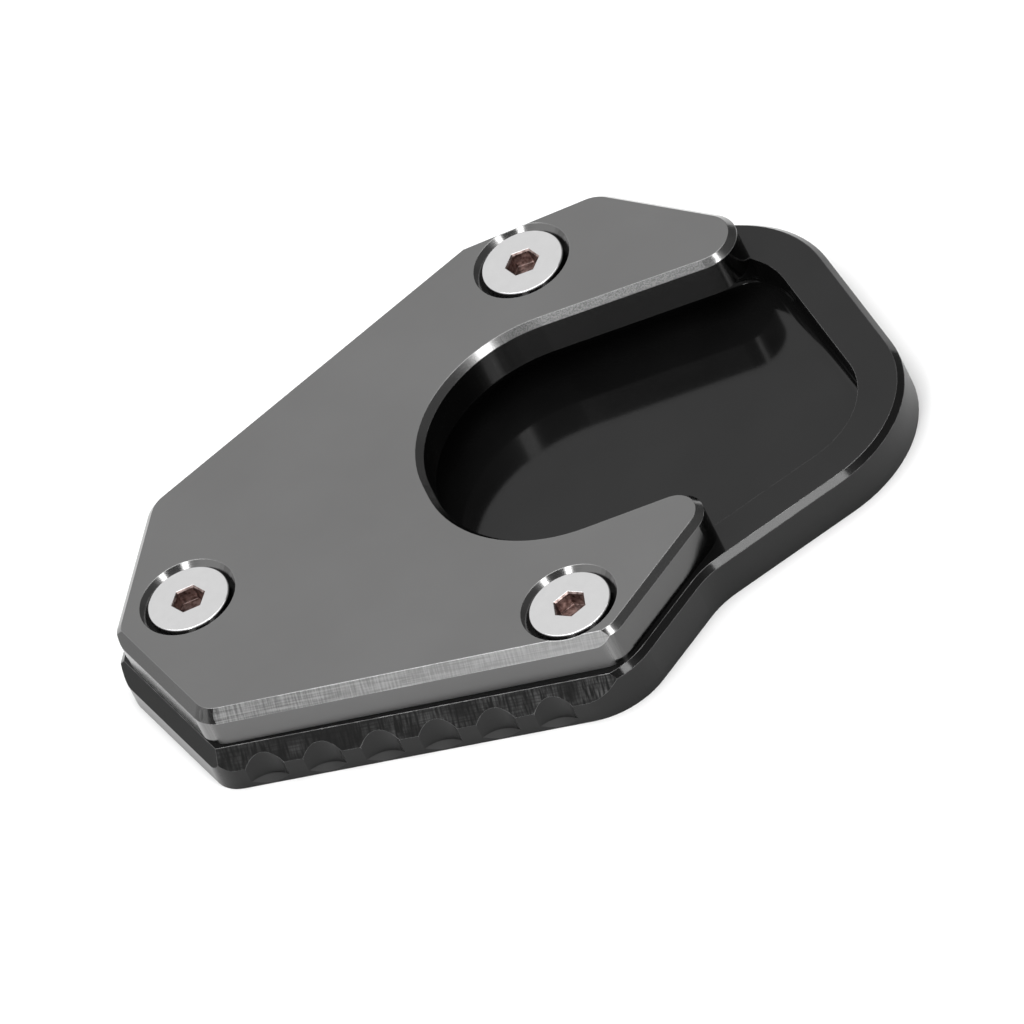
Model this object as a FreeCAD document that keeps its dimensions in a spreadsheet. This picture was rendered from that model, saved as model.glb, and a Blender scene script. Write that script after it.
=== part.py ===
import FreeCAD, Part
import math
import os
import Sketcher

os.makedirs("parts", exist_ok=True)
doc = FreeCAD.newDocument("stand_foot_enlarger")
sizes = doc.addObject("Spreadsheet::Sheet", "Sizes")

# Kickstand foot enlarger: a base plate that spreads the load of a motorcycle stand on soft ground,
# with a pocket for the stand's own foot, and a C-shaped clamp plate screwed on top whose two arms
# reach over the foot. Three countersunk screws hold the plates together.
# Millimetres, +Z up. The origin is the middle of the underside; the fluted front edge faces -Y and
# the open end of the clamp plate faces +X.
# Outline edges are given by the direction they run in, counter-clockwise round the plate, in
# degrees from +X, and by their reach: the distance of the edge's line from the origin.

SIZES = [
    # Thicknesses
    ("base_thickness", 6.8, "base plate, underside to top face"),
    ("top_thickness", 6.1, "clamp plate, underside to top face"),
    # Directions of the edges, shared by both plates where they run parallel
    ("front_angle", -22.43, "clamp plate's front edge"),
    ("arm_angle", 35.8, "outer edge of the front arm"),
    ("right_angle", 131.57, "outer edge of the rear arm"),
    ("rear_right_angle", 173.25, "rear edge, right part"),
    ("rear_angle", -161.34, "rear edge"),
    ("rear_left_angle", -120.67, "short edge behind the left edge"),
    ("left_angle", -76.6, "left edge"),
    ("slot_front_angle", 170.33, "slot wall of the front arm"),
    ("slot_end_angle", 90.0, "end wall of the slot"),
    ("slot_rear_angle", -11.1, "slot wall of the rear arm"),
    # Reaches of the clamp plate's edges
    ("front_reach", 38.56, "front edge"),
    ("arm_reach", 38.16, "outer edge of the front arm"),
    ("right_reach", 50.5, "outer edge of the rear arm"),
    ("rear_right_reach", 44.26, "rear edge, right part"),
    ("rear_reach", 37.59, "rear edge"),
    ("rear_left_reach", 50.78, "short edge behind the left edge"),
    ("left_reach", 54.79, "left edge"),
    ("slot_front_reach", 18.85, "slot wall of the front arm, in front of the origin's far side"),
    ("slot_end_reach", 8.18, "end wall of the slot, left of the origin"),
    ("slot_rear_reach", 24.09, "slot wall of the rear arm, behind the origin"),
    # Corners of the clamp plate
    ("corner_radius", 5.0, "outer corners of the clamp plate"),
    ("slot_radius", 20.0, "inner corners of the slot"),
    ("front_tip_radius", 4.5, "rounded tip of the front arm"),
    ("rear_tip_radius", 5.35, "rounded tip of the rear arm"),
    ("top_chamfer", 0.95, "edge of the clamp plate's top face"),
    ("top_bevel_inset", 1.2, "steep bevel on its left and front edges, seen from above"),
    ("top_bevel_height", 2.05, "the same bevel, height"),
    # Outline of the base plate
    ("side_margin", 1.55, "base plate beyond the clamp plate on the edges they share"),
    ("base_front_angle", -23.13, "base plate's front edge"),
    ("front_margin", 2.87, "base plate beyond the clamp plate at the front, on the line from the origin"),
    ("pad_front_angle", 11.87, "front edge of the open pad on the right"),
    ("pad_front_reach", 37.57, "the same edge"),
    ("pad_side_angle", 96.94, "right edge of the pad"),
    ("pad_side_reach", 56.89, "the same edge"),
    ("pad_rear_angle", 144.0, "rear edge of the pad, under the rear arm's tip"),
    ("pad_rear_reach", 50.65, "the same edge"),
    ("base_corner_radius", 5.0, "small outer corners of the base plate"),
    ("base_front_corner_radius", 11.5, "corner at the right end of the front edge"),
    ("notch_radius", 12.0, "hollow corners between the arms' edges and the pad"),
    ("pad_front_corner_radius", 19.5, "pad corner at the front"),
    ("pad_rear_corner_radius", 20.8, "pad corner at the rear"),
    ("base_chamfer", 0.85, "edge of the base plate's top face"),
    ("base_bevel_height", 3.2, "steep bevel on the base plate's front and left edges"),
    ("base_front_bevel_inset", 1.85, "width of the front bevel seen from above"),
    ("base_left_bevel_inset", 1.45, "width of the left bevel seen from above"),
    # Flutes in the front wall of the base plate
    ("flute_radius", 4.6, "radius of a flute"),
    ("flute_depth", 1.0, "depth of a flute in the wall"),
    ("flute_pitch", 8.56, "spacing of the flutes"),
    ("flute_count", 6, "number of flutes"),
    ("flute_start", 32.66, "first flute, to the left of the origin's foot on the front edge"),
    ("flute_runout_height", 1.0, "height below which a flute narrows to nothing"),
    ("flute_runout_slope", 51.0, "slope of that part of a flute, in degrees from upright"),
    ("flute_foot", 0.1, "plate left whole below the run-out"),
    # Pocket for the stand's foot
    ("pocket_depth", 5.3, "depth of the pocket below the base plate's top face"),
    ("rim_width", 6.68, "rim between the pocket and the pad's outline"),
    ("lip_width", 5.7, "how far the clamp plate reaches over the pocket"),
    ("pocket_bend_radius", 10.0, "bend between the pocket's two front walls"),
    ("pocket_rear_angle", 125.0, "pocket wall that runs under the rear arm's tip"),
    ("pocket_rear_cut", 2.0, "how far it cuts off the corner between the walls beside it"),
    ("pocket_tip_radius", 4.0, "corner at that wall's far end"),
    ("pocket_floor_radius", 1.5, "fillet round the pocket's floor"),
    # Screws
    ("screw_diameter", 6.0, "shank"),
    ("screw_length", 12.0, "head included"),
    ("screw_head_diameter", 12.0, "rim of the head"),
    ("screw_rim_height", 0.87, "upright rim above the head's cone"),
    ("screw_edge_radius", 0.15, "rounded upper edge of the head"),
    ("screw_tip_chamfer", 0.7, "end of the shank"),
    ("socket_width", 4.0, "hexagon socket across its flats"),
    ("socket_depth", 2.4, "depth of the socket's flats"),
    ("socket_chamfer", 0.25, "chamfered mouth of the socket"),
    ("countersink_diameter", 14.3, "mouth of the countersinks in the clamp plate"),
    ("clearance_hole_diameter", 6.6, "screw holes in the clamp plate"),
    ("thread_clearance", 0.1, "screw holes in the base plate, wider than the shank"),
    ("rear_screw_x", 17.4, "rear screw"),
    ("rear_screw_setback", 9.56, "rear screw in front of the rear edge's reach"),
    ("rear_socket_angle", 50.0, "how its socket is turned"),
    ("left_screw_setback", 9.37, "left screw inside the left edge's reach"),
    ("left_screw_y", 3.1, "left screw"),
    ("left_socket_angle", 55.0, "how its socket is turned"),
    ("front_screw_setback", 7.93, "front screw inside the front edge"),
    ("front_screw_inset", 9.7, "front screw inside the front arm's outer edge"),
    ("front_socket_angle", 18.0, "how its socket is turned"),
]
for row, (alias, value, meaning) in enumerate(SIZES, 1):
    sizes.set(f"A{row}", meaning)
    sizes.set(f"B{row}", str(value))
    sizes.setAlias(f"B{row}", alias)
doc.recompute()


def crossing(first, second):
    # Where two edges meet, each given as (direction, reach)
    first_angle, first_reach = first
    second_angle, second_reach = second
    spread = f"sin({second_angle} - {first_angle})"
    x = f"(({second_reach}) * cos({first_angle}) - ({first_reach}) * cos({second_angle})) / {spread}"
    y = f"(({second_reach}) * sin({first_angle}) - ({first_reach}) * sin({second_angle})) / {spread}"
    return x, y


# Each screw's place and the turn of its socket; the front screw keeps its distance from two edges
SCREWS = {
    "rear_screw": ("rear_screw_x", "rear_right_reach - rear_screw_setback", "rear_socket_angle"),
    "left_screw": ("left_screw_setback - left_reach", "left_screw_y", "left_socket_angle"),
    "front_screw": crossing(
        ("front_angle", "front_reach - front_screw_setback"),
        ("arm_angle", "arm_reach - front_screw_inset")) + ("front_socket_angle",),
}
X_AXIS = FreeCAD.Vector(1, 0, 0)
Y_AXIS = FreeCAD.Vector(0, 1, 0)
Z_AXIS = FreeCAD.Vector(0, 0, 1)
ORIGIN_POINT = (-1, 1)
SAME_HEIGHT = 1e-6


def number(expression):
    # Present value of an expression over the sheet's names
    value = sizes.evalExpression(expression)
    return float(getattr(value, "Value", value))


def linked(expression):
    # The same expression as another object writes it
    words = sorted((row[0] for row in SIZES), key=len, reverse=True)
    out = ""
    while expression:
        word = next((w for w in words if expression.startswith(w)), None)
        if word:
            out += "Sizes." + word
            expression = expression[len(word):]
        else:
            out += expression[0]
            expression = expression[1:]
    return out


def bind(thing, path, expression):
    thing.setExpression(path, linked(expression))


def new_body(label):
    body = doc.addObject("PartDesign::Body", label)
    body.Label = label
    return body


def new_sketch(body, name, plane, height="0", axis=Z_AXIS, turn="0"):
    # Sketch on one of the body's own origin planes, lifted and turned in that plane's frame
    sketch = body.newObject("Sketcher::SketchObject", name)
    support = next(f for f in body.Origin.OriginFeatures if f.Role == plane)
    sketch.AttachmentSupport = (support, [""])
    sketch.MapMode = "FlatFace"
    turned = FreeCAD.Rotation(axis, number(turn))
    sketch.AttachmentOffset = FreeCAD.Placement(FreeCAD.Vector(0, 0, number(height)), turned)
    bind(sketch, "AttachmentOffset.Base.z", height)
    bind(sketch, "AttachmentOffset.Rotation.Angle", turn)
    return sketch


def add_outline(sketch, edges):
    # Closed outline of straight edges in counter-clockwise order, each with a round or sharp corner
    # at its end: (name, direction, reach, 1 or -1 for the side of the origin, corner radius or None)
    runs = []
    for name, direction, reach, side, corner in edges:
        angle = math.radians(number(direction))
        along = FreeCAD.Vector(math.cos(angle), math.sin(angle), 0)
        outward = FreeCAD.Vector(math.sin(angle), -math.cos(angle), 0)
        radius = number(corner) if corner else 0.0
        runs.append((along, outward, side * number(reach), radius))
    ends = []
    for here, (along, outward, reach, radius) in enumerate(runs):
        next_along, next_outward, next_reach, _ = runs[(here + 1) % len(runs)]
        cross = outward.x * next_outward.y - outward.y * next_outward.x
        meeting = FreeCAD.Vector(
            (reach * next_outward.y - next_reach * outward.y) / cross,
            (next_reach * outward.x - reach * next_outward.x) / cross, 0)
        turn = math.atan2(along.x * next_along.y - along.y * next_along.x, along.dot(next_along))
        back = radius * math.tan(abs(turn) / 2)
        bend = 1 if turn > 0 else -1
        start = meeting - along * back
        end = meeting + next_along * back
        ends.append((start, end, start - outward * (bend * radius), bend))
    lines = []
    for here in range(len(runs)):
        begin = ends[here - 1][1]
        finish = ends[here][0]
        lines.append(sketch.addGeometry(Part.LineSegment(begin, finish), False))
    constraints = []
    names = []
    for here, (name, direction, reach, side, corner) in enumerate(edges):
        line = lines[here]
        following = lines[(here + 1) % len(lines)]
        constraints.append(Sketcher.Constraint("Angle", line, math.radians(number(direction))))
        names.append((name + "_angle", direction))
        constraints.append(Sketcher.Constraint("Distance", *ORIGIN_POINT, line, number(reach)))
        names.append((name + "_reach", reach))
        if not corner:
            constraints.append(Sketcher.Constraint("Coincident", line, 2, following, 1))
            names.append(None)
            continue
        start, end, centre, bend = ends[here]
        first = math.atan2(start.y - centre.y, start.x - centre.x)
        last = math.atan2(end.y - centre.y, end.x - centre.x)
        circle = Part.Circle(centre, Z_AXIS, runs[here][3])
        near, far = (1, 2) if bend > 0 else (2, 1)
        low, high = (first, last) if bend > 0 else (last, first)
        arc = sketch.addGeometry(Part.ArcOfCircle(circle, low, high), False)
        constraints.append(Sketcher.Constraint("Tangent", line, 2, arc, near))
        names.append(None)
        constraints.append(Sketcher.Constraint("Tangent", arc, far, following, 1))
        names.append(None)
        constraints.append(Sketcher.Constraint("Radius", arc, number(corner)))
        names.append((name + "_corner", corner))
    add_named(sketch, constraints, names)


def add_named(sketch, constraints, names):
    # Constraints go in together; the named ones take their values from the sheet
    first = sketch.ConstraintCount
    sketch.addConstraint(constraints)
    for place, entry in enumerate(names):
        if entry:
            sketch.renameConstraint(first + place, entry[0])
            bind(sketch, "Constraints." + entry[0], entry[1])


def add_polygon(sketch, corners):
    # Closed polygon whose corners are given as pairs of expressions
    points = [FreeCAD.Vector(number(x), number(y), 0) for x, y in corners]
    lines = []
    for here, point in enumerate(points):
        following = points[(here + 1) % len(points)]
        lines.append(sketch.addGeometry(Part.LineSegment(point, following), False))
    constraints = []
    names = []
    for here, (x, y) in enumerate(corners):
        line = lines[here]
        constraints.append(Sketcher.Constraint("Coincident", line, 2, lines[(here + 1) % len(lines)], 1))
        names.append(None)
        for kind, value, expression in (("X", points[here].x, x), ("Y", points[here].y, y)):
            constraints.append(Sketcher.Constraint("Distance" + kind, *ORIGIN_POINT, line, 1, value))
            names.append((f"corner_{here}_{kind}", expression))
    add_named(sketch, constraints, names)


def add_circles(sketch, circles):
    # Circles as (name, x, y, diameter)
    constraints = []
    names = []
    for name, x, y, diameter in circles:
        centre = FreeCAD.Vector(number(x), number(y), 0)
        circle = sketch.addGeometry(Part.Circle(centre, Z_AXIS, number(diameter) / 2), False)
        constraints.append(Sketcher.Constraint("DistanceX", *ORIGIN_POINT, circle, 3, centre.x))
        names.append((name + "_x", x))
        constraints.append(Sketcher.Constraint("DistanceY", *ORIGIN_POINT, circle, 3, centre.y))
        names.append((name + "_y", y))
        constraints.append(Sketcher.Constraint("Diameter", circle, number(diameter)))
        names.append((name + "_diameter", diameter))
    add_named(sketch, constraints, names)


def pad(body, name, sketch, length):
    feature = body.newObject("PartDesign::Pad", name)
    feature.Profile = sketch
    bind(feature, "Length", length)
    doc.recompute()
    return feature


def face_at(feature, height):
    # Name of the level face at a height
    for place, face in enumerate(feature.Shape.Faces, 1):
        if face.BoundBox.ZLength < SAME_HEIGHT and abs(face.BoundBox.ZMin - height) < SAME_HEIGHT:
            return f"Face{place}"
    raise ValueError("no level face at " + str(height))


def level_edges(feature, height, reach):
    # Names of the edges that lie level at a height, within a distance from the body's own axis
    names = []
    for place, edge in enumerate(feature.Shape.Edges, 1):
        level = max(abs(corner.Z - height) for corner in edge.Vertexes) < SAME_HEIGHT
        distance = max(math.hypot(corner.X, corner.Y) for corner in edge.Vertexes)
        if level and distance < reach:
            names.append(f"Edge{place}")
    return names


def chamfer_face(body, name, feature, height, size):
    chamfer = body.newObject("PartDesign::Chamfer", name)
    chamfer.Base = (feature, [face_at(feature, number(height))])
    bind(chamfer, "Size", size)
    doc.recompute()
    return chamfer


def cut_through(body, name, sketch, before, both_ways=True):
    # Pocket through the whole body; it has to take material away
    pocket = body.newObject("PartDesign::Pocket", name)
    pocket.Profile = sketch
    pocket.Type = "ThroughAll"
    if both_ways:
        pocket.SideType = "Symmetric"
    else:
        pocket.Reversed = True
    doc.recompute()
    if pocket.Shape.Volume > before.Shape.Volume - 1:
        raise ValueError(name + " cuts nothing")
    return pocket


def wedge(edge, top, inset, height):
    # Section of a steep bevel, across an edge that stands at that distance
    return [
        (f"{edge} - 2 * {inset}", f"{top} + {height}"),
        (f"{edge} + {inset}", f"{top} - 2 * {height}"),
        (f"{edge} + {inset}", f"{top} + {height}"),
    ]


def bevel(body, name, before, top, direction, reach, inset, height):
    # Flat steep cut along one straight edge: a wedge drawn across the edge and run along it
    section = new_sketch(body, name + "_section", "XZ_Plane", axis=Y_AXIS, turn=f"{direction} + 270")
    add_polygon(section, wedge(reach, top, inset, height))
    return cut_through(body, name, section, before)


def corner_bevel(body, name, before, top, first, second, radius, inset, height):
    # The same cut carried round the corner from one edge to the next, each given as (direction,
    # reach): the wedge stands at the corner's centre and turns about it
    first_angle, first_reach = first
    second_angle, second_reach = second
    centre_x, centre_y = crossing(
        (first_angle, f"{first_reach} - {radius}"),
        (second_angle, f"{second_reach} - {radius}"))
    section = new_sketch(body, name + "_section", "XZ_Plane", axis=Y_AXIS, turn=f"{first_angle} + 270")
    bind(section, "AttachmentOffset.Base.x", centre_x)
    bind(section, "AttachmentOffset.Base.z", f"-({centre_y})")
    add_polygon(section, wedge(radius, top, inset, height))
    groove = body.newObject("PartDesign::Groove", name)
    groove.Profile = section
    groove.ReferenceAxis = (section, ["V_Axis"])
    bind(groove, "Angle", f"{second_angle} - {first_angle}")
    doc.recompute()
    return groove


# Base plate: outline, chamfered top edge, steep bevels on the front and left edges
base = new_body("base_plate")
base_sketch = new_sketch(base, "base_outline", "XY_Plane")
add_outline(base_sketch, [
    ("front", "base_front_angle", "(front_reach + front_margin)", 1, "base_front_corner_radius"),
    ("arm", "arm_angle", "arm_reach + side_margin", 1, "notch_radius"),
    ("pad_front", "pad_front_angle", "pad_front_reach", 1, "pad_front_corner_radius"),
    ("pad_side", "pad_side_angle", "pad_side_reach", 1, "pad_rear_corner_radius"),
    ("pad_rear", "pad_rear_angle", "pad_rear_reach", 1, "notch_radius"),
    ("right", "right_angle", "right_reach + side_margin", 1, "base_corner_radius"),
    ("rear_right", "rear_right_angle", "rear_right_reach + side_margin", 1, None),
    ("rear", "rear_angle", "rear_reach + side_margin", 1, "base_corner_radius"),
    ("rear_left", "rear_left_angle", "rear_left_reach + side_margin", 1, "base_corner_radius"),
    ("left", "left_angle", "left_reach + side_margin", 1, "base_corner_radius"),
])
base_plate = pad(base, "base_slab", base_sketch, "base_thickness")
base_edge = chamfer_face(base, "base_edge", base_plate, "base_thickness", "base_chamfer")
left_bevel = bevel(base, "left_bevel", base_edge, "base_thickness", "left_angle",
                   "(left_reach + side_margin)", "base_left_bevel_inset", "base_bevel_height")
front_bevel = bevel(base, "front_bevel", left_bevel, "base_thickness", "base_front_angle",
                    "(front_reach + front_margin)", "base_front_bevel_inset", "base_bevel_height")

# Flutes: one round flute cut upwards and its sloping run-out cut downwards, repeated along the
# front edge
flute_sketch = new_sketch(base, "flute_circle", "XY_Plane", "flute_runout_height", Z_AXIS,
                          "base_front_angle")
flute_distance = "-(front_reach + front_margin + flute_radius - flute_depth)"
add_circles(flute_sketch, [("flute", "-flute_start", flute_distance, "2 * flute_radius")])
flute = cut_through(base, "flute", flute_sketch, front_bevel, both_ways=False)
runout = base.newObject("PartDesign::Pocket", "flute_runout")
runout.Profile = flute_sketch
bind(runout, "Length", "flute_runout_height - flute_foot")
bind(runout, "TaperAngle", "-flute_runout_slope")
doc.recompute()
flutes = base.newObject("PartDesign::LinearPattern", "flutes")
flutes.Originals = [flute, runout]
flutes.Direction = (flute_sketch, ["H_Axis"])
bind(flutes, "Length", "(flute_count - 1) * flute_pitch")
bind(flutes, "Occurrences", "flute_count")
base.Tip = flutes
doc.recompute()

# Pocket for the stand's foot: parallel to the pad's outline on the right, and reaching under the
# clamp plate's arms and the end of its slot by the width of the lip
pocket_sketch = new_sketch(base, "pocket_outline", "XY_Plane", "base_thickness")
corner_x, corner_y = crossing(
    ("pad_side_angle", "pad_side_reach - rim_width"),
    ("(slot_rear_angle + 180)", "slot_rear_reach + lip_width"))
corner_reach = f"({corner_x}) * sin(pocket_rear_angle) - ({corner_y}) * cos(pocket_rear_angle)"
add_outline(pocket_sketch, [
    ("pad_front", "pad_front_angle", "pad_front_reach - rim_width", 1,
     "pad_front_corner_radius - rim_width"),
    ("pad_side", "pad_side_angle", "pad_side_reach - rim_width", 1,
     "pad_rear_corner_radius - rim_width"),
    ("pocket_rear", "pocket_rear_angle", f"{corner_reach} - pocket_rear_cut", 1, "pocket_tip_radius"),
    ("rear", "slot_rear_angle + 180", "slot_rear_reach + lip_width", 1, "slot_radius + lip_width"),
    ("end", "slot_end_angle - 180", "slot_end_reach + lip_width", 1, "slot_radius + lip_width"),
    ("front", "slot_front_angle - 180", "slot_front_reach + lip_width", 1, "pocket_bend_radius"),
])
foot_pocket = base.newObject("PartDesign::Pocket", "foot_pocket")
foot_pocket.Profile = pocket_sketch
bind(foot_pocket, "Length", "pocket_depth")
doc.recompute()
floor_fillet = base.newObject("PartDesign::Fillet", "pocket_floor")
floor_fillet.Base = (foot_pocket, [face_at(foot_pocket, number("base_thickness - pocket_depth"))])
bind(floor_fillet, "Radius", "pocket_floor_radius")
doc.recompute()

# Screw holes through the base plate
hole_sketch = new_sketch(base, "screw_hole_circles", "XY_Plane", "base_thickness")
add_circles(hole_sketch, [
    (name, x, y, "screw_diameter + thread_clearance") for name, (x, y, turn) in SCREWS.items()
])
cut_through(base, "screw_holes", hole_sketch, floor_fillet)

# Clamp plate: a C whose slot opens between the two arms
top = new_body("top_plate")
bind(top, "Placement.Base.z", "base_thickness")
top_sketch = new_sketch(top, "clamp_outline", "XY_Plane")
add_outline(top_sketch, [
    ("front", "front_angle", "front_reach", 1, "corner_radius"),
    ("arm", "arm_angle", "arm_reach", 1, "front_tip_radius"),
    ("slot_front", "slot_front_angle", "slot_front_reach", -1, "slot_radius"),
    ("slot_end", "slot_end_angle", "slot_end_reach", -1, "slot_radius"),
    ("slot_rear", "slot_rear_angle", "slot_rear_reach", -1, "rear_tip_radius"),
    ("right", "right_angle", "right_reach", 1, "corner_radius"),
    ("rear_right", "rear_right_angle", "rear_right_reach", 1, None),
    ("rear", "rear_angle", "rear_reach", 1, "corner_radius"),
    ("rear_left", "rear_left_angle", "rear_left_reach", 1, "corner_radius"),
    ("left", "left_angle", "left_reach", 1, "corner_radius"),
])
clamp_slab = pad(top, "clamp_slab", top_sketch, "top_thickness")
clamp_edge = chamfer_face(top, "clamp_edge", clamp_slab, "top_thickness", "top_chamfer")
clamp_side_bevel = bevel(top, "clamp_side_bevel", clamp_edge, "top_thickness", "left_angle",
                         "left_reach", "top_bevel_inset", "top_bevel_height")
clamp_front_bevel = bevel(top, "clamp_front_bevel", clamp_side_bevel, "top_thickness", "front_angle",
                          "front_reach", "top_bevel_inset", "top_bevel_height")
corner_bevel(top, "clamp_corner_bevel", clamp_front_bevel, "top_thickness",
             ("left_angle", "left_reach"), ("front_angle", "front_reach"), "corner_radius",
             "top_bevel_inset", "top_bevel_height")

# Countersunk screw holes
seat_sketch = new_sketch(top, "screw_seat_circles", "XY_Plane", "top_thickness")
add_circles(seat_sketch, [
    (name, x, y, "clearance_hole_diameter") for name, (x, y, turn) in SCREWS.items()
])
seats = top.newObject("PartDesign::Hole", "screw_seats")
seats.Profile = seat_sketch
seats.DepthType = "ThroughAll"
bind(seats, "Diameter", "clearance_hole_diameter")
seats.HoleCutType = "Countersink"
seats.HoleCutCustomValues = True
bind(seats, "HoleCutDiameter", "countersink_diameter")
seats.HoleCutCountersinkAngle = 90
doc.recompute()


# Countersunk socket screws, head upwards, each with its own turn of the socket
def make_screw(label, x, y, turn):
    body = new_body(label)
    body.Placement = FreeCAD.Placement(FreeCAD.Vector(), FreeCAD.Rotation(Z_AXIS, number(turn)))
    bind(body, "Placement.Base.x", x)
    bind(body, "Placement.Base.y", y)
    bind(body, "Placement.Base.z", "base_thickness + top_thickness"
         " - (countersink_diameter - screw_head_diameter) / 2 + screw_rim_height")
    bind(body, "Placement.Rotation.Angle", turn)
    profile = new_sketch(body, label + "_profile", "XZ_Plane")
    cone_end = "-(screw_rim_height + (screw_head_diameter - screw_diameter) / 2)"
    add_polygon(profile, [
        ("0", "0"),
        ("0", "-screw_length"),
        ("screw_diameter / 2 - screw_tip_chamfer", "-screw_length"),
        ("screw_diameter / 2", "screw_tip_chamfer - screw_length"),
        ("screw_diameter / 2", cone_end),
        ("screw_head_diameter / 2", "-screw_rim_height"),
        ("screw_head_diameter / 2", "0"),
    ])
    turned = body.newObject("PartDesign::Revolution", label + "_blank")
    turned.Profile = profile
    turned.ReferenceAxis = (profile, ["V_Axis"])
    doc.recompute()
    edge = body.newObject("PartDesign::Fillet", label + "_edge")
    edge.Base = (turned, [face_at(turned, 0)])
    bind(edge, "Radius", "screw_edge_radius")
    doc.recompute()
    hexagon = new_sketch(body, label + "_hexagon", "XY_Plane")
    across = "(socket_width / cos(30 deg) / 2)"
    add_polygon(hexagon, [
        (f"{across} * cos({60 * side} deg)", f"{across} * sin({60 * side} deg)") for side in range(6)
    ])
    socket = body.newObject("PartDesign::Pocket", label + "_socket")
    socket.Profile = hexagon
    bind(socket, "Length", "socket_depth")
    doc.recompute()
    mouth = body.newObject("PartDesign::Chamfer", label + "_mouth")
    mouth.Base = (socket, level_edges(socket, 0, number("screw_head_diameter / 4")))
    bind(mouth, "Size", "socket_chamfer")
    doc.recompute()
    return body


screws = [make_screw(label, *place) for label, place in SCREWS.items()]
doc.recompute()

for thing in doc.Objects:
    if "Invalid" in thing.State or "Error" in thing.State:
        raise ValueError(thing.Name + " is not valid")
for body in [base, top] + screws:
    shape = body.Shape
    if shape.isNull() or not shape.isValid() or len(shape.Solids) != 1:
        raise ValueError(body.Label + " is not one sound solid")
    shape.exportStep("parts/" + body.Label + ".step")
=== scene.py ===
import bpy
import math
from mathutils import Matrix, Vector

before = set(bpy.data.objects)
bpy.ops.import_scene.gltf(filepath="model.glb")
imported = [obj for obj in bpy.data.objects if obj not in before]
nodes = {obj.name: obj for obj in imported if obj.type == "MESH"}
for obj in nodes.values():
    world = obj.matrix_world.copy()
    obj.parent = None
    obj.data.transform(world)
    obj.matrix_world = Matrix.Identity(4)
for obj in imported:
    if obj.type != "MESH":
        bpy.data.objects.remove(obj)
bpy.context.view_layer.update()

# Kickstand foot enlarger: black anodised base plate, grey anodised clamp plate, three steel screws.
# Metres, in the model's own frame: +Z up, the fluted front edge faces -Y.

MM = 0.001
UP = Vector((0, 0, 1))

# Camera: the photograph's direction and roll, from so far away that edges stay parallel
VIEW_ELEVATION = math.asin(0.665)
VIEW_ROLL = math.radians(26.8)
PIXELS_PER_METRE = 43000 / 6
PICTURE_WIDTH = 1024
MARK_POINT = Vector((1.103, -9.403, 12.9)) * MM
MARK_PIXEL = (512, 500)
CAMERA_DISTANCE = 6.5
MARK_DEPTH = 0.011
SENSOR_WIDTH = 6.0

toward_camera = Vector((0, -math.cos(VIEW_ELEVATION), math.sin(VIEW_ELEVATION)))
level_right = Vector((1, 0, 0))
level_up = toward_camera.cross(level_right)
picture_right = level_right * math.cos(VIEW_ROLL) - level_up * math.sin(VIEW_ROLL)
picture_up = level_right * math.sin(VIEW_ROLL) + level_up * math.cos(VIEW_ROLL)
picture_centre = (
    MARK_POINT
    + picture_right * ((PICTURE_WIDTH / 2 - MARK_PIXEL[0]) / PIXELS_PER_METRE)
    - picture_up * ((PICTURE_WIDTH / 2 - MARK_PIXEL[1]) / PIXELS_PER_METRE)
)

camera_data = bpy.data.cameras.new("camera")
camera_data.sensor_width = SENSOR_WIDTH
camera_data.lens = SENSOR_WIDTH * (CAMERA_DISTANCE + MARK_DEPTH) * PIXELS_PER_METRE / PICTURE_WIDTH
camera_data.clip_start = 0.05
camera_data.clip_end = 50
camera = bpy.data.objects.new("camera", camera_data)
bpy.context.scene.collection.objects.link(camera)
turn = Matrix((picture_right, picture_up, toward_camera)).transposed()
camera.matrix_world = Matrix.Translation(picture_centre + toward_camera * CAMERA_DISTANCE) @ turn.to_4x4()
bpy.context.scene.camera = camera
bpy.context.scene.view_settings.view_transform = "Standard"


# Node building
def new_material(name):
    material = bpy.data.materials.new(name)
    material.use_nodes = True
    return material, material.node_tree


def add(tree, kind, inputs=(), **settings):
    node = tree.nodes.new("ShaderNode" + kind)
    for key, value in settings.items():
        setattr(node, key, value)
    for key, value in dict(inputs).items():
        if isinstance(value, bpy.types.NodeSocket):
            tree.links.new(value, node.inputs[key])
        else:
            node.inputs[key].default_value = value
    return node


def maths(tree, operation, first, second=0.0):
    return add(tree, "Math", {0: first, 1: second}, operation=operation).outputs[0]


def spread(tree, value, low, high, to_low=0.0, to_high=1.0):
    # Value between low and high carried to the other range, held at its ends
    return add(tree, "MapRange", {0: value, 1: low, 2: high, 3: to_low, 4: to_high}).outputs[0]


def times(tree, first, second):
    return maths(tree, "MULTIPLY", first, second)


def dot_product(tree, first, second):
    return add(tree, "VectorMath", {0: first, 1: second}, operation="DOT_PRODUCT").outputs["Value"]


def noise(tree, where, scale, detail=2.0):
    inputs = {"Vector": where, "Scale": scale, "Detail": detail, "Roughness": 0.5}
    return add(tree, "TexNoise", inputs).outputs["Fac"]


def rings(tree, radius, scale):
    # Noise that changes only with the distance from an axis, as turning leaves it
    line = add(tree, "CombineXYZ", {0: radius}).outputs[0]
    return add(tree, "TexNoise", {"Vector": line, "Scale": scale, "Detail": 2.0}).outputs["Fac"]


def mix_colour(tree, amount, first, second, blend="MIX"):
    inputs = {0: amount, 6: first, 7: second}
    return add(tree, "Mix", inputs, data_type="RGBA", blend_type=blend).outputs[2]


def mix_value(tree, amount, first, second):
    return add(tree, "Mix", {0: amount, 2: first, 3: second}, data_type="FLOAT").outputs[0]


def dimmed(tree, tone, share):
    # The tone at a share of its brightness
    return mix_colour(tree, 1.0, tone, grey(share), "MULTIPLY")


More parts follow.
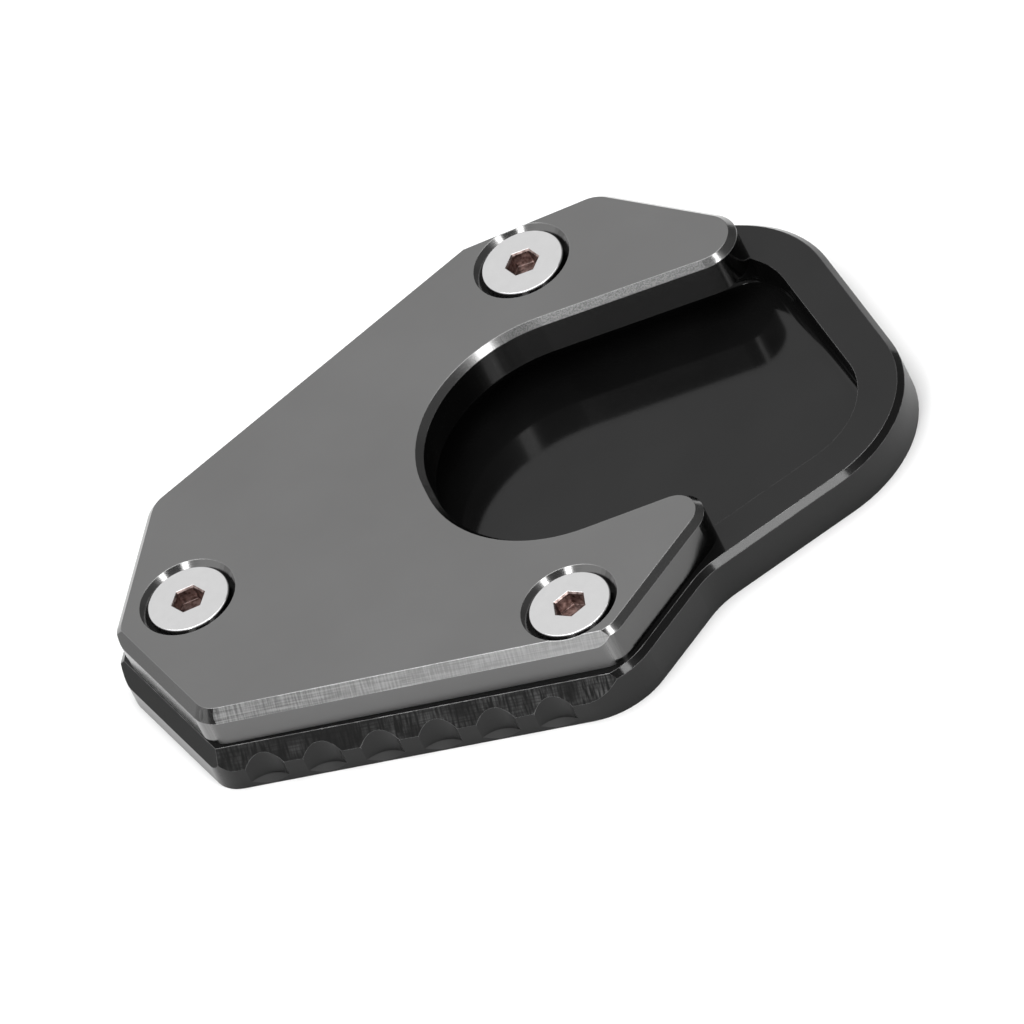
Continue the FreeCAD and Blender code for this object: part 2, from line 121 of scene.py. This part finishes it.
def facing(tree, direction, low, high, output="True Normal"):
    # 1 where the surface faces a direction, from low to high cosine
    normal = add(tree, "NewGeometry").outputs[output]
    return spread(tree, dot_product(tree, normal, direction), low, high)


def upright(tree):
    # 1 on walls, 0 on every sloping or level face
    normal = add(tree, "NewGeometry").outputs["True Normal"]
    rise = add(tree, "SeparateXYZ", {0: normal}).outputs[2]
    return maths(tree, "LESS_THAN", maths(tree, "ABSOLUTE", rise), 0.2)


def along(tree, direction):
    # Distance of the point along a direction, in metres
    return dot_product(tree, add(tree, "TexCoord").outputs["Object"], direction)


def streaks(tree, where, run, outward, rise_scale, run_scale, detail):
    # Noise drawn out into lines: one scale along an edge, and another over height and depth
    first = times(tree, dot_product(tree, where, run), run_scale)
    second = times(tree, dot_product(tree, where, UP - outward * 0.5), rise_scale)
    grid = add(tree, "CombineXYZ", {0: first, 1: second}).outputs[0]
    return add(tree, "TexNoise", {"Vector": grid, "Scale": 1.0, "Detail": detail}).outputs["Fac"]


def grey(value, warm=0.0):
    return (value * (1 + warm), value, value * (1 - warm), 1)


def surface(tree, **inputs):
    shader = tree.nodes["Principled BSDF"]
    for key, value in inputs.items():
        socket = shader.inputs[key.replace("_", " ")]
        if isinstance(value, bpy.types.NodeSocket):
            tree.links.new(value, socket)
        else:
            socket.default_value = value
    return shader


def rounding(tree, radius):
    # Normal that is rounded at the edges, and 1 on the edges themselves
    rounded = add(tree, "Bevel", {"Radius": radius}, samples=6).outputs[0]
    normal = add(tree, "NewGeometry").outputs["True Normal"]
    return rounded, spread(tree, dot_product(tree, rounded, normal), 0.93, 0.988, 1.0, 0.0)


def bump(tree, height, distance, strength, normal):
    inputs = {"Height": height, "Distance": distance, "Strength": strength, "Normal": normal}
    return add(tree, "Bump", inputs).outputs[0]


def from_screw(tree, place):
    # Distance from a screw's axis, in metres
    where = add(tree, "TexCoord").outputs["Object"]
    axis = (place[0] * MM, place[1] * MM, 0)
    offset = add(tree, "VectorMath", {0: where, 1: axis}, operation="SUBTRACT").outputs[0]
    split = add(tree, "SeparateXYZ", {0: offset})
    flat = add(tree, "CombineXYZ", {0: split.outputs[0], 1: split.outputs[1]}).outputs[0]
    return add(tree, "VectorMath", {0: flat}, operation="LENGTH").outputs["Value"]


def edge_frame(angle, inset=1, height=1):
    # Outward direction of an edge, direction along it, and its bevel's normal, from the bevel's size
    turn = math.radians(angle)
    outward = Vector((math.sin(turn), -math.cos(turn), 0))
    run = Vector((math.cos(turn), math.sin(turn), 0))
    return outward, run, (outward * height + UP * inset).normalized()


# Edges of the plates: degrees from -Y towards +X, and the inset and height of the steep bevels in mm
CLAMP_FRONT_ANGLE = -22.43
CLAMP_BEVEL = (1.2, 2.05)
BASE_FRONT_ANGLE = -23.13
BASE_FRONT_BEVEL = (1.85, 3.2)
BASE_LEFT_BEVEL = (1.45, 3.2)
LEFT_ANGLE = -76.6
REAR_LEFT_ANGLE = -120.67
ARM_ANGLE = 35.8
SLOT_ANGLE = -11.1
FRONT_PART = 20 * MM
SLOT_EDGE_PLACE = 24.1 * MM
SLOT_EDGE_REACH = 1.2 * MM
SEAT_REACH = 7.4 * MM
FOOT_TOP = 1.02 * MM
WEAR_BEGIN = 3.2 * MM
WEAR_FULL = 3.5 * MM
EDGE_RADIUS = 0.16 * MM
SCREW_PLACES = {"rear_screw": (17.4, 34.7), "left_screw": (-45.42, 3.1), "front_screw": (1.72, -33.85)}

# Grey anodised clamp plate, its front bevel cut through the colour to bare metal
grey_material, tree = new_material("grey_anodised")
where = add(tree, "TexCoord").outputs["Object"]
outward, run, bevel_normal = edge_frame(CLAMP_FRONT_ANGLE, *CLAMP_BEVEL)
cloud = noise(tree, where, 60, 3.0)
grain = noise(tree, where, 4200, 2.0)
tone = mix_colour(tree, spread(tree, cloud, 0.3, 0.7), grey(0.182, 0.006), grey(0.197, 0.004))
on_bevel = facing(tree, bevel_normal, 0.993, 0.996)
position = along(tree, run)
feed = streaks(tree, where, run, outward, 3200, 120, 2.0)
teeth = streaks(tree, where, run, outward, 250, 3600, 2.0)
milled = maths(tree, "ADD", times(tree, feed, 0.5), times(tree, teeth, 0.5))
# Painted light: the bare metal is darker at the left end of the bevel and lighter towards the right
bare_metal_and_painted_light = mix_colour(tree, spread(tree, position, -45 * MM, 15 * MM), grey(0.22), grey(0.58))
bare_metal_and_painted_light = mix_colour(tree, spread(tree, milled, 0.42, 0.60, 0.0, 0.55), bare_metal_and_painted_light, grey(0.85))
tone = mix_colour(tree, on_bevel, tone, bare_metal_and_painted_light)
rough = mix_value(tree, on_bevel, spread(tree, grain, 0.3, 0.7, 0.14, 0.2), 0.36)

# The slot edge of the rear arm is left grainy by the cutter
slot_facing = edge_frame(SLOT_ANGLE)[0]
slot_chamfer_normal = edge_frame(SLOT_ANGLE)[2]
from_edge = maths(tree, "SUBTRACT", along(tree, -slot_facing), SLOT_EDGE_PLACE)
near_edge = maths(tree, "LESS_THAN", maths(tree, "ABSOLUTE", from_edge), SLOT_EDGE_REACH)
grainy = times(tree, facing(tree, slot_chamfer_normal, 0.97, 0.99), near_edge)
speckle = spread(tree, noise(tree, where, 5200, 1.0), 0.38, 0.62)
tone = mix_colour(tree, grainy, tone, mix_colour(tree, speckle, grey(0.09), grey(0.165)))
rough = mix_value(tree, grainy, rough, 0.34)

# The front wall scatters light evenly, and the slot's wall a little
in_front = maths(tree, "GREATER_THAN", along(tree, outward), FRONT_PART)
behind = maths(tree, "SUBTRACT", 1.0, in_front)
on_wall = times(tree, facing(tree, outward, 0.93, 0.985, "Normal"), in_front)
on_slot = times(tree, facing(tree, slot_facing, 0.85, 0.95), behind)
metal = maths(tree, "SUBTRACT", 1.0, times(tree, on_wall, 0.9))
metal = maths(tree, "SUBTRACT", metal, times(tree, on_slot, 0.12))
rough = mix_value(tree, on_wall, rough, 0.5)
# Painted shade: the front wall's tone is dimmed to 0.6 of its brightness
tone = mix_colour(tree, on_wall, tone, dimmed(tree, tone, 0.6))

# Faces that mirror the bright floor get painted shade, their tone dimmed: the arm's side, the left side
# with its bevel, and the chamfer behind it. Direction, cosine where it begins and where it is full, share
# of brightness
for direction, begin, full, share in (
    (edge_frame(ARM_ANGLE)[0], 0.8, 0.95, 0.52),
    (edge_frame(LEFT_ANGLE)[0], 0.85, 0.95, 0.7),
    (edge_frame(LEFT_ANGLE, *CLAMP_BEVEL)[2], 0.95, 0.98, 0.38),
    (edge_frame(REAR_LEFT_ANGLE)[2], 0.95, 0.98, 0.6),
):
    tone = mix_colour(tree, facing(tree, direction, begin, full), tone, dimmed(tree, tone, share))

# The dyed layer on the level faces is partly matt
on_top = facing(tree, UP, 0.98, 0.995)
metal = maths(tree, "SUBTRACT", metal, times(tree, on_top, 0.5))
tone = mix_colour(tree, on_top, tone, dimmed(tree, tone, 0.72))

# Turned countersinks round the screw heads
to_rear, to_left, to_front = [from_screw(tree, place) for place in SCREW_PLACES.values()]
nearest = maths(tree, "MINIMUM", maths(tree, "MINIMUM", to_rear, to_left), to_front)
sloping = maths(tree, "SUBTRACT", facing(tree, UP, 0.5, 0.6), facing(tree, UP, 0.8, 0.9))
turned = times(tree, sloping, maths(tree, "LESS_THAN", nearest, SEAT_REACH))
rough = mix_value(tree, turned, rough, 0.15)

# Its edges are a little lighter
rounded, edge = rounding(tree, EDGE_RADIUS)
tone = mix_colour(tree, times(tree, edge, 0.6), tone, grey(0.30))
height = mix_value(tree, on_bevel, times(tree, grain, 0.25), milled)
height = mix_value(tree, turned, height, rings(tree, nearest, 7000))
normal = bump(tree, height, 0.012 * MM, 0.5, rounded)
surface(tree, Base_Color=tone, Metallic=metal, Roughness=rough, Normal=normal)
nodes["top_plate"].data.materials[0] = grey_material

# Black anodised base plate, its two steep bevels left rougher by the cutter
black_material, tree = new_material("black_anodised")
where = add(tree, "TexCoord").outputs["Object"]
grain = noise(tree, where, 3600, 2.0)
cloud = noise(tree, where, 70, 3.0)
tone = mix_colour(tree, spread(tree, cloud, 0.3, 0.7), grey(0.0032), grey(0.0056))
outward, run, bevel_normal = edge_frame(BASE_FRONT_ANGLE, *BASE_FRONT_BEVEL)
on_front = facing(tree, bevel_normal, 0.993, 0.996)
on_side = facing(tree, edge_frame(LEFT_ANGLE, *BASE_LEFT_BEVEL)[2], 0.993, 0.996)
on_bevel = maths(tree, "MAXIMUM", on_front, on_side)
teeth = streaks(tree, where, run, outward, 300, 2600, 3.0)
feed = streaks(tree, where, run, outward, 2400, 160, 2.0)
patches = noise(tree, where, 150, 2.0)
position = along(tree, run)
streak = times(tree, spread(tree, teeth, 0.40, 0.66), spread(tree, feed, 0.35, 0.6, 0.3, 1.0))
streak = times(tree, streak, spread(tree, patches, 0.42, 0.6, 0.2, 1.0))
# Painted light: the milled streaks grow lighter towards the right end of the bevel
streak = times(tree, streak, spread(tree, position, -45 * MM, 20 * MM, 0.3, 1.0))
milling_and_painted_light = mix_colour(tree, streak, grey(0.001), grey(0.075))
tone = mix_colour(tree, on_front, tone, milling_and_painted_light)
rough = mix_value(tree, upright(tree), spread(tree, grain, 0.3, 0.7, 0.07, 0.12), 0.32)
rough = mix_value(tree, facing(tree, edge_frame(LEFT_ANGLE)[0], 0.93, 0.98), rough, 0.1)
rough = mix_value(tree, on_front, rough, 0.42)
rough = mix_value(tree, on_side, rough, 0.75)
height = mix_value(tree, on_bevel, times(tree, grain, 0.15), teeth)

# On its edges the colour is thin and the metal shines through
rounded, edge = rounding(tree, EDGE_RADIUS)
wear = noise(tree, where, 700, 4.0)
rise = add(tree, "SeparateXYZ", {0: where}).outputs[2]
worn = times(tree, edge, spread(tree, wear, 0.38, 0.62, 0.4, 1.0))
worn = times(tree, worn, spread(tree, rise, WEAR_BEGIN, WEAR_FULL))
tone = mix_colour(tree, worn, tone, grey(0.26))

# The feet of the flutes are matt, and painted a lighter grey as painted light over their dark reflection
foot = times(tree, facing(tree, UP, 0.3, 0.5), maths(tree, "LESS_THAN", rise, FOOT_TOP))
tone = mix_colour(tree, foot, tone, grey(0.022))
rough = mix_value(tree, foot, rough, 0.55)
normal = bump(tree, height, 0.01 * MM, 0.35, rounded)
surface(tree, Base_Color=tone, Metallic=worn, Roughness=rough, IOR=1.37, Normal=normal)
nodes["base_plate"].data.materials[0] = black_material

# Bright steel screws, with brown tarnish inside the sockets, and painted shade on the heads' sides below
# the rim
SCREW_TOP = 12.57 * MM
SOCKET_REACH = 2.62 * MM
RIM_REACH = 4 * MM
SOCKET_LEVEL = 0.04 * MM
RIM_LEVEL = -0.12 * MM
STEEL_DARK = (0.67, 0.668, 0.67, 1)
STEEL_LIGHT = (0.70, 0.698, 0.70, 1)
TARNISH_DARK = (0.13, 0.09, 0.082, 1)
TARNISH_LIGHT = (0.42, 0.33, 0.31, 1)
for name, place in SCREW_PLACES.items():
    steel_material, tree = new_material("screw_steel_" + name)
    where = add(tree, "TexCoord").outputs["Object"]
    rise = maths(tree, "SUBTRACT", add(tree, "SeparateXYZ", {0: where}).outputs[2], SCREW_TOP)
    radius = from_screw(tree, place)
    below_top = maths(tree, "LESS_THAN", rise, SOCKET_LEVEL)
    below_rim = maths(tree, "LESS_THAN", rise, RIM_LEVEL)
    inside = times(tree, maths(tree, "LESS_THAN", radius, SOCKET_REACH), below_top)
    shaded_side = times(tree, maths(tree, "GREATER_THAN", radius, RIM_REACH), below_rim)
    grain = noise(tree, where, 900, 4.0)
    smear = noise(tree, where, 1600, 3.0)
    tone = mix_colour(tree, spread(tree, grain, 0.2, 0.8), STEEL_DARK, STEEL_LIGHT)
    tarnish = mix_colour(tree, spread(tree, smear, 0.35, 0.65), TARNISH_DARK, TARNISH_LIGHT)
    tone = mix_colour(tree, inside, tone, tarnish)
    # Painted shade on the head's side, down in the countersink
    tone = mix_colour(tree, shaded_side, tone, grey(0.2))
    rough = mix_value(tree, inside, spread(tree, grain, 0.3, 0.7, 0.10, 0.16), 0.3)
    rounded = rounding(tree, EDGE_RADIUS)[0]
    normal = bump(tree, rings(tree, radius, 9000), 0.002 * MM, 0.25, rounded)
    surface(tree, Base_Color=tone, Metallic=1.0, Roughness=rough, Normal=normal)
    nodes[name].data.materials[0] = steel_material

# Floor
floor_mesh = bpy.data.meshes.new("floor")
floor_mesh.from_pydata([(-6, -6, 0), (6, -6, 0), (6, 6, 0), (-6, 6, 0)], [], [(0, 1, 2, 3)])
floor = bpy.data.objects.new("floor", floor_mesh)
bpy.context.scene.collection.objects.link(floor)
floor_material, tree = new_material("floor")
surface(tree, Base_Color=(0.9, 0.9, 0.9, 1), Roughness=0.9)
floor_mesh.materials.append(floor_material)

# Studio light: a white room with darker parts, two soft boxes at the front, and a wide one overhead
world = bpy.data.worlds.new("studio")
bpy.context.scene.world = world
world.use_nodes = True
tree = world.node_tree
tree.nodes["Background"].inputs["Strength"].default_value = 1.0
direction = add(tree, "TexCoord").outputs["Generated"]
room = grey(0.95)
# Darker parts of the room: direction, cosine where it begins and where it is full, brightness
for toward, begin, full, brightness in (
    ((0.882, 0.203, 0.426), 0.50, 0.75, 0.22),
    ((0.80, 0.57, 0.18), 0.90, 0.97, 0.18),
    ((-0.03, -0.69, 0.72), 0.92, 0.955, 0.15),
    ((-0.618, -0.736, 0.276), 0.85, 0.95, 0.35),
    ((-0.993, -0.087, 0.083), 0.93, 0.98, 0.6),
    ((-0.85, -0.475, 0.16), 0.955, 0.975, 0.12),
):
    nearness = dot_product(tree, direction, Vector(toward).normalized())
    room = mix_colour(tree, spread(tree, nearness, begin, full), room, grey(brightness))
tree.links.new(room, tree.nodes["Background"].inputs["Color"])


def soft_box(name, azimuth, elevation, distance, size, radiance):
    # Azimuth in degrees from -Y towards +X, distance and size in metres
    turn = math.radians(azimuth)
    tilt = math.radians(elevation)
    flat = Vector((math.sin(turn), -math.cos(turn), 0)) * math.cos(tilt)
    place = (flat + UP * math.sin(tilt)) * distance
    data = bpy.data.lights.new(name, "AREA")
    data.shape = "RECTANGLE"
    data.size, data.size_y = size
    data.energy = radiance * math.pi * size[0] * size[1]
    light = bpy.data.objects.new(name, data)
    light.location = place
    light.rotation_euler = place.to_track_quat("Z", "Y").to_euler()
    bpy.context.scene.collection.objects.link(light)


soft_box("left_box", -34, 46, 1.2, (0.2, 0.3), 9)
soft_box("right_box", 29, 46, 1.2, (0.2, 0.3), 9)
soft_box("overhead_box", 0, 88, 1.2, (1.5, 1.5), 2.2)
